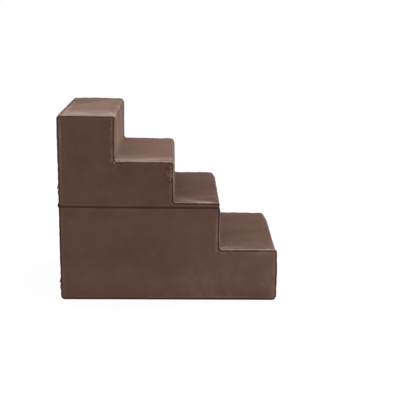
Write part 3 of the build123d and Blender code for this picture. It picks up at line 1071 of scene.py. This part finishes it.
def cover_strips(name, block, floor_seam, material):
    """The strip over the steps and the two back panels, each with its distances from the seams."""
    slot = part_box(name + "_back_bottom_panel")[1].z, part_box(name + "_back_top_panel")[0].z
    x, z = block.middle.places.real, block.middle.places.imag
    ahead = block.index > block.where(x > 0)
    front_seam = block.where(ahead & (z >= floor_seam))
    back_seam = block.where(ahead & (x <= BACK_SEAM) & (z > slot[1]))
    behind = block.index > back_seam
    slot_bottom, slot_top, base = (block.where(behind & (z <= height)) for height in (*slot, floor_seam))
    for part, start, end, crease, seed in (
        ("step", front_seam, back_seam, 1, 11),
        ("back_top", back_seam, slot_top, 0.8, 22),
        ("back_bottom", slot_bottom, base, 0.6, 33),
    ):
        cover = strip_panel(f"{name}_cover_{part}", block, start, end, slot, material, crease, seed)
        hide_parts(f"{name}_{part}_panel")
        yield cover


def cover_sides(name, block, floor_seam, material):
    """The two sides, in the same way."""
    for side, word, seed in ((-1, "left", 44), (1, "right", 55)):
        cover = side_panel(f"{name}_cover_{word}", block, side, floor_seam, material, seed)
        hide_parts(f"{name}_{word}_side_panel")
        yield cover


def covered_block(name, sizes, materials):
    """One block's cover and its foam."""
    block = Block(*sizes)
    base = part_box(name + "_base_panel")
    floor_seam = UPPER_FLOOR + UPPER_TRAY if name == "upper" else base[1].z
    covers = [
        *cover_strips(name, block, floor_seam, materials["suede"]),
        *cover_sides(name, block, floor_seam, materials["suede"]),
    ]
    slacken(covers)
    pieces = [piece for piece, _ in covers]
    for piece in pieces:
        thicken(piece, COVER_THICKNESS)
    tray = base_tray(f"{name}_cover_base", block, base[0].z, floor_seam, materials["grip"])
    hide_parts(name + "_base_panel")
    for piece in (*pieces, tray, foam_core(name, sizes, materials["foam"])):
        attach(piece, name + "_steps")


# The trimmings


def hinge_strip(material):
    """One fabric strip sewn on both backs, with a soft loop out to the fold line."""
    low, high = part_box("lower_hinge_leaf"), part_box("upper_hinge_leaf")
    middle = (low[1].z + high[0].z) / 2
    reach = high[1].z - middle
    half = low[1].y
    rows, columns, bend_half = 61, 125, 0.009
    rises = np.linspace(-reach, reach, rows)
    across = np.linspace(-half, half, columns)
    bulge = HINGE_LIFT + HINGE_LOOP * welt(rises, 0, 0.0055)
    points = []
    for rise, lift in zip(rises, bulge):
        swing = 0.0004 * welt(rise, 0, 0.010)
        for y in across:
            ripple = swing * noise.noise(Vector((y / 0.03, rise / 0.02, 4.2)))
            points.append((BACK - lift - ripple, y, middle + rise))
    piece = new_object("hinge_strip", points, grid_faces(rows, columns), "hinge_tape", material)
    face_along(piece, np.array((-1, 0, 0)))
    thicken(piece, HINGE_THICKNESS)
    start, end = ((BACK, 0, middle + away) for away in (-bend_half, bend_half))
    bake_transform(piece)
    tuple(start)
    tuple(end)
    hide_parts("lower_hinge_leaf", "upper_hinge_leaf")


def stitching(name, rows, half, body, slot, material):
    """Rows of lockstitch across the back. A row is its height and its place along x."""
    pitch, length, width, sides = 0.0042, 0.0031, 0.00038, 6
    taper = ((0, 0.35), (0.25, 1), (0.75, 1), (1, 0.35))
    points, faces = [], []
    for z, x in rows:
        for y in np.arange(-half, half - length, pitch):
            faces += tube_faces(len(taper), sides, len(points))
            for along, girth in taper:
                reach, place = width * girth, y + along * length
                points += [(x - reach * cos, place, z + reach * sin) for cos, sin in circle(sides)]
    piece = new_object(name, points, faces, slot, material)
    face_outward(piece)
    shade_smooth(piece)
    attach(piece, body)


def back_stitching(material):
    """Topstitching that holds the zip tapes and the hinge strip."""
    margin, from_tape_edge, from_leaf_edge = 0.004, 0.0022, (0.0025, 0.0065)
    for block, away in (("lower", 1), ("upper", -1)):
        body = block + "_steps"
        low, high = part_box(block + "_zip_tapes")
        rows = [(z, low.x) for z in (low.z + from_tape_edge, high.z - from_tape_edge)]
        stitching(f"{block}_zip_stitching", rows, TAPE_HALF - margin, body, "zip_tape", material)
        low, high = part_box(block + "_hinge_leaf")
        edge = low.z if block == "lower" else high.z
        rows = [(edge + away * inset, BACK - HINGE_LIFT) for inset in from_leaf_edge]
        stitching(f"{block}_hinge_stitching", rows, high.y - margin, body, "hinge_tape", material)


def grip_dots(material):
    """Rubber dots printed on the lower base in a triangular pattern."""
    radius, pitch, margin, sides = 0.0024, 0.014, 0.018, 10
    rise = pitch * math.sqrt(3) / 2
    points, faces = [], []
    for row in range(int(2 * (HALF_WIDTH - margin) / rise) + 1):
        y = margin - HALF_WIDTH + row * rise
        for x in np.arange(BACK + margin + (row % 2) * pitch / 2, FRONT - margin, pitch):
            faces += tube_faces(2, sides, len(points))
            for reach, z in ((radius, DOT_HEIGHT + 0.0002), (0.7 * radius, 0)):
                points += [(x + reach * cos, y + reach * sin, z) for cos, sin in circle(sides)]
    piece = new_object("lower_grip_dots", points, faces, "grip_base", material)
    face_outward(piece)
    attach(piece, "lower_steps")


def carried_over():
    """Finishes for the CAD nodes that stay, and a small bevel where metal edges catch the light."""
    tape = woven("zip_tape", (0.060, 0.032, 0.024), (0.110, 0.060, 0.044), 0.0007)
    teeth = moulded("zip_nylon", 500, (0.060, 0.032, 0.024), (0.085, 0.047, 0.036), (0.32, 0.48), 0.00006)
    brass = metal()
    finishes = {
        "lower_loop_strips": pile("loop_pile", (0.045, 0.026, 0.020), (0.120, 0.075, 0.058), 1500),
        "upper_hook_strips": pile("hook_pile", (0.040, 0.023, 0.018), (0.100, 0.060, 0.046), 900),
    }
    for block in ("lower", "upper"):
        finishes |= {f"{block}_zip_tapes": tape, f"{block}_zip_teeth": teeth}
        finishes |= {f"{block}_zip_{part}": brass for part in ("stops", "slider", "pull")}
    for name, finish in finishes.items():
        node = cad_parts[name]
        for slot in node.material_slots:
            slot.material = finish
        if finish is brass:
            bevel = node.modifiers.new("soft_edges", "BEVEL")
            bevel.width = 0.00015
            bevel.segments = 2
            bevel.limit_method = "ANGLE"


camera_at_the_photograph()
materials = {"suede": suede(), "grip": grip_fabric(), "foam": foam()}
covered_block("lower", lower_sizes(), materials)
covered_block("upper", upper_sizes(), materials)
hinge_strip(woven("hinge_fabric", (0.070, 0.037, 0.027), (0.125, 0.068, 0.050), 0.0008))
back_stitching(thread())
grip_dots(moulded("grip_rubber", 300, (0.016, 0.013, 0.012), (0.030, 0.025, 0.022), (0.45, 0.65), 0.0001))
carried_over()

floor_and_backdrop()
world_light()
softbox("key", (1.5, 0.7, 1.9), (1.4, 1.4), 34)
softbox("front_fill", (-0.8, -2.4, 1.5), (1.6, 1.2), 9)
scene.view_settings.view_transform = "Standard"
